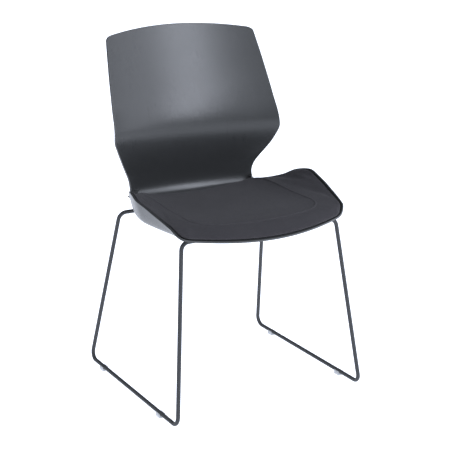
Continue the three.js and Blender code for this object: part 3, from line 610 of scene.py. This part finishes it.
pad_shares = np.concatenate([np.linspace(0, 0.6, 24), np.linspace(0.6, 1, 26)[1:]])
station_grid, x_grid = sheet_grid(pad_line(PAD_TUCK), PAD_ROW_GAP, pad_shares, PAD_EASE, dish_section)
top_places = pad_points(station_grid, x_grid, pad_lift(station_grid, x_grid) - PAD_SWELL)
under_places = face_points(station_grid, x_grid) + face_normals(station_grid, x_grid) * PAD_CLEARANCE
pad, i, j = lay_sheet("seat_pad", top_places)
under, i_under, j_under = lay_sheet("pad_under", under_places)
only(under)
bpy.ops.object.mode_set(mode="EDIT")
bpy.ops.mesh.select_all(action="SELECT")
bpy.ops.mesh.flip_normals()
bpy.ops.object.mode_set(mode="OBJECT")
top_count = len(pad.data.vertices)
only(pad, under)
bpy.ops.object.join()
bpy.ops.object.mode_set(mode="EDIT")
bpy.ops.mesh.select_mode(type="EDGE")
bpy.ops.mesh.select_all(action="DESELECT")
bpy.ops.mesh.select_non_manifold()
bpy.ops.mesh.bridge_edge_loops(number_cuts=1)
bpy.ops.mesh.select_all(action="SELECT")
bpy.ops.mesh.normals_make_consistent(inside=False)
bpy.ops.object.mode_set(mode="OBJECT")

# The middle ring of the edge stands out by the tuck. Each of its points goes with one top point.
full_station, full_x = sheet_grid(pad_outline, PAD_ROW_GAP, pad_shares, PAD_EASE, dish_section)
rim_places = (face_points(full_station, full_x)
              + face_normals(full_station, full_x) * edge_lift(full_station)[..., None] / 2)
across_run = np.pad(np.cumsum(np.linalg.norm(np.diff(top_places, axis=1), axis=2), axis=1), ((0, 0), (1, 0)))
across_run -= across_run[:, across_run.shape[1] // 2, None]
points = np.array([v.co for v in pad.data.vertices])
weave = np.zeros((len(points), 3))
weave[:top_count, 0], weave[:top_count, 1] = across_run[i, j], station_grid[i, j]
weave[top_count:2 * top_count, 0] = across_run[i_under, j_under]
weave[top_count:2 * top_count, 1] = station_grid[i_under, j_under]
for edge in pad.data.edges:
    above, ring = sorted(edge.vertices)
    if above < top_count and ring >= 2 * top_count:
        row, column = i[above], j[above]
        points[ring] = rim_places[row, column]
        weave[ring, :2] = across_run[row, column] * EDGE_STRETCH, full_station[row, column]
pad.data.vertices.foreach_set("co", points.ravel())
pad.data.update()
thread_place = pad.data.attributes.new("thread_place", "FLOAT_VECTOR", "POINT")
thread_place.data.foreach_set("vector", weave.ravel())

# The foam fills the tight cover out a little: the top swells, and the edge and underside hold.
held = pad.vertex_groups.new(name="held")
held.add(range(top_count, 2 * top_count), 1.0, "REPLACE")
held.add(range(2 * top_count, len(points)), 1.0, "REPLACE")
only(pad)
cloth = pad.modifiers.new("cloth", "CLOTH")
cloth.settings.use_pressure = True
cloth.settings.uniform_pressure_force = SWELL_PRESSURE
cloth.settings.vertex_group_mass = "held"
cloth.settings.effector_weights.gravity = 0
cloth.settings.quality = SWELL_QUALITY
cloth.collision_settings.use_collision = False
cloth.point_cache.frame_start = 1
cloth.point_cache.frame_end = SWELL_FRAMES
for frame_number in range(1, SWELL_FRAMES + 1):
    bpy.context.scene.frame_set(frame_number)
swollen = pad.evaluated_get(bpy.context.evaluated_depsgraph_get()).to_mesh()
moved = np.array([v.co for v in swollen.vertices]) - points
length = np.linalg.norm(moved, axis=1)
share = PAD_SWELL_LIMIT / (length + PAD_SWELL_LIMIT)
bpy.ops.object.modifier_remove(modifier="cloth")
pad.vertex_groups.remove(held)
pad.data.vertices.foreach_set("co", (points + moved * share[:, None]).ravel())
bpy.context.scene.frame_set(1)
apply_modifier(pad, "SUBSURF", levels=1, render_levels=1)


def lay_tube(name, path, ups, radii, sides):
    """A closed tube along a path. Its sections stand on the path's way, and ups set their turn."""
    ways = np.gradient(path, axis=0)
    ways /= np.linalg.norm(ways, axis=1)[:, None]
    across = np.cross(ways, ups)
    across /= np.linalg.norm(across, axis=1)[:, None]
    angles = np.linspace(0, 2 * np.pi, sides + 1)[None, :, None]
    rings = np.cos(angles) * np.cross(across, ways)[:, None] + np.sin(angles) * across[:, None]
    tube, _, _ = lay_sheet(name, path[:, None] + rings * np.asarray(radii)[:, None, None])
    bpy.ops.object.mode_set(mode="EDIT")
    bpy.ops.mesh.select_all(action="SELECT")
    bpy.ops.mesh.remove_doubles(threshold=0.00002)
    bpy.ops.mesh.fill_holes(sides=0)
    bpy.ops.mesh.select_all(action="SELECT")
    bpy.ops.mesh.normals_make_consistent(inside=False)
    bpy.ops.object.mode_set(mode="OBJECT")
    return tube


# The seam's thin welt runs along the ridge line, from the rear of one side round to the other.
WELT_RADIUS, WELT_SINK, WELT_START, WELT_FADE, WELT_SIDES = 0.0045, 0.0032, 0.006, 0.040, 10
straight = np.linspace(PAD_REAR + WELT_START, PAD_FRONT - FRONT_BAND - RIDGE_CORNER, 110)
bend = np.linspace(0, math.pi / 2, 30)[1:]
half_station = np.concatenate([straight, straight[-1] + RIDGE_CORNER * np.sin(bend)])
half_x = np.concatenate([np.minimum(RIDGE_X, RIDGE_SHARE * half_width(pad_outline, straight)),
                         RIDGE_X - RIDGE_CORNER * (1 - np.cos(bend))])
front_x = np.linspace(half_x[-1], -half_x[-1], 90)[1:-1]
welt_station = np.concatenate([half_station, np.full(len(front_x), half_station[-1]), half_station[::-1]])
welt_x = np.concatenate([half_x, front_x, -half_x[::-1]])
welt_path = pad_points(welt_station, welt_x, pad_lift(welt_station, welt_x))
landed = [pad.closest_point_on_mesh(Vector(place))[1:3] for place in welt_path]
welt_ups = np.array([normal for _, normal in landed])
welt_path = np.array([place for place, _ in landed])
run = np.concatenate([[0], np.cumsum(np.linalg.norm(np.diff(welt_path, axis=0), axis=1))])
fade = smoothstep(np.minimum(run, run[-1] - run) / WELT_FADE)
welt_path -= welt_ups * (WELT_RADIUS - (WELT_RADIUS - WELT_SINK) * fade)[:, None]
welt = lay_tube("welt", welt_path, welt_ups, np.full(len(welt_path), WELT_RADIUS), WELT_SIDES)
only(pad, welt)
bpy.ops.object.join()
bpy.ops.object.shade_smooth()

FABRIC_DARK = (0.033, 0.031, 0.034, 1)
FABRIC_LIGHT = (0.068, 0.064, 0.069, 1)
THREADS_PER_METRE = 900.0
fabric, fabric_shader, place = new_finish("woven_seat_fabric", Roughness=0.92, Sheen_Weight=0.08,
                                          Sheen_Roughness=0.5, Specular_IOR_Level=0.15)
thread = place.node("ShaderNodeAttribute", {"attribute_name": "thread_place"}, output="Vector")
across = thread.node("ShaderNodeSeparateXYZ", output="X", Vector=thread)
along = thread.node("ShaderNodeSeparateXYZ", output="Y", Vector=thread)
wobble = place.node("ShaderNodeTexNoise", output="Fac", Vector=place, Scale=220.0, Detail=3.0)
turn = 2 * math.pi * THREADS_PER_METRE / 2
warp = (across * turn + wobble * 2).math("SINE", across * turn + wobble * 2)
weft = (along * turn + wobble * 2).math("SINE", along * turn + wobble * 2)
bump = warp * weft
fleck = place.node("ShaderNodeTexNoise", output="Fac", Vector=place, Scale=700.0, Detail=4.0)
drift = place.node("ShaderNodeTexNoise", output="Fac", Vector=place, Scale=14.0, Detail=3.0)
feed(fabric_shader,
     Base_Color=place.mix(fleck * 0.7 + bump * 0.25 + drift * 0.3 - 0.1, FABRIC_DARK, FABRIC_LIGHT),
     Normal=place.node("ShaderNodeBump", Height=bump * 0.5 + fleck, Strength=0.5, Distance=0.0006))
pad.data.materials.append(fabric)

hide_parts("pad_cover", "pad_foam")
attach(pad, "root")


# Sled rods. Each side is one solid steel rod, 10 mm thick, bent cold at four corners and powder
# coated dark grey. It makes half of both crossbars, two leaning legs and the runner on the floor.

ROD_RADIUS, ROD_BEND = 0.005, 0.020
ROD_SIDES, BEND_STEPS = 32, 14
CROSSBAR_GAP = 0.00015
ROD_CORNERS = [
    (CROSSBAR_GAP, -0.185, 0.426), (0.2095, -0.185, 0.426), (0.254, -0.243, 0.0093),
    (0.254, 0.243, 0.0093), (0.2095, 0.143, 0.418), (CROSSBAR_GAP, 0.143, 0.418),
]


def bent_rod(name, side):
    """A circle that is extruded along the straights and spun round the bends."""
    corners = [Vector((side * x, y + DEPTH_SHIFT, z)) for x, y, z in ROD_CORNERS]
    bpy.ops.object.select_all(action="DESELECT")
    bpy.ops.mesh.primitive_circle_add(vertices=ROD_SIDES, radius=ROD_RADIUS, fill_type="NOTHING")
    rod = bpy.context.object
    rod.name = name
    rod.data.transform(Matrix.Translation(corners[0]) @ Matrix.Rotation(math.pi / 2, 4, "Y"))
    bpy.ops.object.mode_set(mode="EDIT")
    bpy.ops.mesh.select_all(action="SELECT")
    here = corners[0]
    for before, corner, after in zip(corners, corners[1:], corners[2:]):
        back = (before - corner).normalized()
        ahead = (after - corner).normalized()
        half = back.angle(ahead) / 2
        reach = ROD_BEND / math.tan(half)
        start = corner + back * reach
        centre = corner + (back + ahead).normalized() * ROD_BEND / math.sin(half)
        bpy.ops.mesh.extrude_edges_move(TRANSFORM_OT_translate={"value": start - here})
        bpy.ops.mesh.spin(steps=BEND_STEPS, angle=-(math.pi - 2 * half), center=centre,
                          axis=ahead.cross(back).normalized())
        here = corner + ahead * reach
    bpy.ops.mesh.extrude_edges_move(TRANSFORM_OT_translate={"value": corners[-1] - here})
    bpy.ops.mesh.select_all(action="SELECT")
    bpy.ops.mesh.remove_doubles(threshold=0.00001)
    bpy.ops.mesh.fill_holes(sides=0)
    bpy.ops.mesh.select_all(action="SELECT")
    bpy.ops.mesh.normals_make_consistent(inside=False)
    bpy.ops.object.mode_set(mode="OBJECT")
    only(rod)
    bpy.ops.object.shade_smooth_by_angle(angle=math.radians(40))
    return rod


COAT_GREY = (0.048, 0.049, 0.051, 1)
COAT_GREY_THIN = (0.070, 0.072, 0.075, 1)
coat, coat_shader, place = new_finish("grey_powder_coat", Specular_IOR_Level=0.08)
orange_peel = place.node("ShaderNodeTexNoise", output="Fac", Vector=place, Scale=650.0, Detail=2.0)
patch = place.node("ShaderNodeTexNoise", output="Fac", Vector=place, Scale=22.0, Detail=3.0)
feed(coat_shader,
     Base_Color=place.mix(orange_peel * 0.5 + patch * 0.5, COAT_GREY, COAT_GREY_THIN),
     Roughness=patch * 0.1 + orange_peel * 0.08 + 0.45,
     Normal=place.node("ShaderNodeBump", Height=orange_peel, Strength=0.25, Distance=0.0004))

for side_name, side in (("left", -1), ("right", 1)):
    rod = bent_rod(f"bent_rod_{side_name}", side)
    rod.data.materials.append(coat)
    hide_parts(f"sled_rod_{side_name}")
    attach(rod, "root")


# Seat rails and their welds. Two flat steel rails lie between the crossbars and are welded to
# them before coating, and the two halves of each crossbar are welded together in the middle.

RAIL_HALF_WIDTH = 0.015
BEAD_RADIUS, BEAD_RIPPLE, BEAD_WAVES, BEAD_STEPS, BEAD_SIDES = 0.0016, 0.12, 11, 60, 10
BEAD_END, BEAD_SEAT = 0.4, 0.92
RING_RADIUS, RING_BEAD, RING_WAVES = 0.0052, 0.0010, 9

beads = []
ripple = 1 + BEAD_RIPPLE * np.sin(np.linspace(0, 2 * math.pi * BEAD_WAVES, BEAD_STEPS))
ripple[[0, -1]] = BEAD_END
for rail_x in (-RAIL_X, RAIL_X):
    for end, way in ((RAIL_START, 1), (RAIL_START + RAIL_SPAN, -1)):
        for up in (-1, 1):
            middle = end + RAIL_ALONG * way * (ROD_RADIUS * BEAD_SEAT) + RAIL_UP * up * RAIL_HALF_THICKNESS
            across = rail_x + np.linspace(-1, 1, BEAD_STEPS) * RAIL_HALF_WIDTH
            path = np.array(middle) + np.outer(across, (1, 0, 0))
            ups = np.tile(RAIL_UP, (BEAD_STEPS, 1))
            beads.append(lay_tube("bead", path, ups, BEAD_RADIUS * ripple, BEAD_SIDES))
for end in (RAIL_START, RAIL_START + RAIL_SPAN):
    bpy.ops.object.select_all(action="DESELECT")
    bpy.ops.mesh.primitive_torus_add(major_segments=72, minor_segments=10, major_radius=RING_RADIUS,
                                     minor_radius=RING_BEAD, rotation=(0, math.pi / 2, 0), location=end)
    bpy.ops.object.transform_apply(location=True, rotation=True, scale=True)
    ring = bpy.context.object
    for vertex in ring.data.vertices:
        turn = math.atan2(vertex.co.z - end.z, vertex.co.y - end.y)
        vertex.co.x *= 1.5 + 0.3 * math.sin(RING_WAVES * turn)
    beads.append(ring)
only(*beads)
bpy.ops.object.join()
bpy.context.object.name = "weld_beads"
bpy.ops.object.shade_smooth()
bpy.context.object.data.materials.append(coat)
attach(bpy.context.object, "root")
for side_name in ("left", "right"):
    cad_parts[f"seat_rail_{side_name}"].data.materials[0] = coat


# Fixings. Zinc plated screws and washers hold the rails to brass inserts in the shell's bosses,
# and smaller zinc plated screws hold the pad's board from below through flanged nuts.

ZINC, ZINC_DULL = (0.50, 0.51, 0.53, 1), (0.36, 0.37, 0.39, 1)
BRASS, BRASS_DULL = (0.55, 0.38, 0.13, 1), (0.38, 0.26, 0.10, 1)


def plated_finish(name, bright, dull):
    """A plated metal with a brushed, slightly clouded surface."""
    metal, shader, place = new_finish(name, Metallic=1.0)
    scratch = place.node("ShaderNodeTexNoise", output="Fac", Detail=3.0, Scale=1.0, Vector=place.node(
        "ShaderNodeMapping", Vector=place, Scale=(300.0, 1500.0, 1500.0)))
    cloud = place.node("ShaderNodeTexNoise", output="Fac", Vector=place, Scale=120.0, Detail=3.0)
    feed(shader, Base_Color=place.mix(cloud, bright, dull), Roughness=cloud * 0.2 + scratch * 0.1 + 0.25,
         Normal=place.node("ShaderNodeBump", Height=scratch, Strength=0.15, Distance=0.0002))
    return metal


zinc = plated_finish("zinc_plate", ZINC, ZINC_DULL)
brass = plated_finish("brass_insert", BRASS, BRASS_DULL)
for k in range(1, 5):
    for node in (f"frame_screw_{k}", f"frame_washer_{k}", f"pad_nut_{k}", f"pad_screw_{k}"):
        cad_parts[node].data.materials[0] = zinc
    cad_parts[f"shell_insert_{k}"].data.materials[0] = brass

BOARD_BLACK, BOARD_GREY = (0.020, 0.020, 0.021, 1), (0.040, 0.040, 0.042, 1)
board, board_shader, place = new_finish("pressed_board", IOR=1.45)
chips = place.node("ShaderNodeTexVoronoi", output="Distance", Vector=place, Scale=180.0)
feed(board_shader, Base_Color=place.mix(chips, BOARD_BLACK, BOARD_GREY), Roughness=chips * 0.2 + 0.6,
     Normal=place.node("ShaderNodeBump", Height=chips, Strength=0.3, Distance=0.0005))
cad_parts["pad_board"].data.materials[0] = board


# Glides. Four small clear plastic clips grip the runners from below and keep the steel off the
# floor. Each is a moulded block with rounded edges and a round groove for the rod.

GLIDE_HALF_WIDTH, GLIDE_LENGTH, GLIDE_TOP = 0.0075, 0.020, 0.0108
GLIDE_GROOVE, GLIDE_AXIS = 0.0053, 0.0093
GLIDE_EDGE = 0.0012
GLIDE_CLEAR, GLIDE_MILKY = (0.34, 0.35, 0.36, 1), (0.46, 0.47, 0.48, 1)
GLIDE_PLACES = {
    "front_left": (-0.254, -0.155), "front_right": (0.254, -0.155),
    "rear_left": (-0.254, 0.167), "rear_right": (0.254, 0.167),
}

bpy.ops.object.select_all(action="DESELECT")
bpy.ops.mesh.primitive_cube_add(size=1, location=(0, 0, GLIDE_TOP / 2))
clip = bpy.context.object
clip.scale = (2 * GLIDE_HALF_WIDTH, GLIDE_LENGTH, GLIDE_TOP)
bpy.ops.object.transform_apply(location=True, rotation=True, scale=True)
bpy.ops.mesh.primitive_cylinder_add(vertices=64, radius=GLIDE_GROOVE, depth=2 * GLIDE_LENGTH,
                                    location=(0, 0, GLIDE_AXIS), rotation=(math.pi / 2, 0, 0))
groove = bpy.context.object
combine(clip, [groove], "DIFFERENCE")
apply_modifier(clip, "BEVEL", width=GLIDE_EDGE, segments=4, limit_method="ANGLE",
               angle_limit=math.radians(50), use_clamp_overlap=True)
only(clip)
bpy.ops.object.shade_smooth_by_angle(angle=math.radians(35))

clear, clear_shader, place = new_finish("clear_glide_plastic", IOR=1.46, Transmission_Weight=0.2)
haze = place.node("ShaderNodeTexNoise", output="Fac", Vector=place, Scale=160.0, Detail=3.0)
scuff = place.node("ShaderNodeTexNoise", output="Fac", Vector=place, Scale=900.0, Detail=2.0)
feed(clear_shader, Base_Color=place.mix(haze, GLIDE_CLEAR, GLIDE_MILKY), Roughness=haze * 0.15 + 0.22,
     Normal=place.node("ShaderNodeBump", Height=scuff, Strength=0.12, Distance=0.0004))
clip.data.materials.append(clear)
for place_name, (x, y) in GLIDE_PLACES.items():
    glide = clip.copy()
    glide.data = clip.data.copy()
    glide.name = f"clip_{place_name}"
    bpy.context.collection.objects.link(glide)
    glide.data.transform(Matrix.Translation((x, y + DEPTH_SHIFT, 0)))
    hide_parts(f"glide_{place_name}")
    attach(glide, "root")
bpy.data.objects.remove(clip)
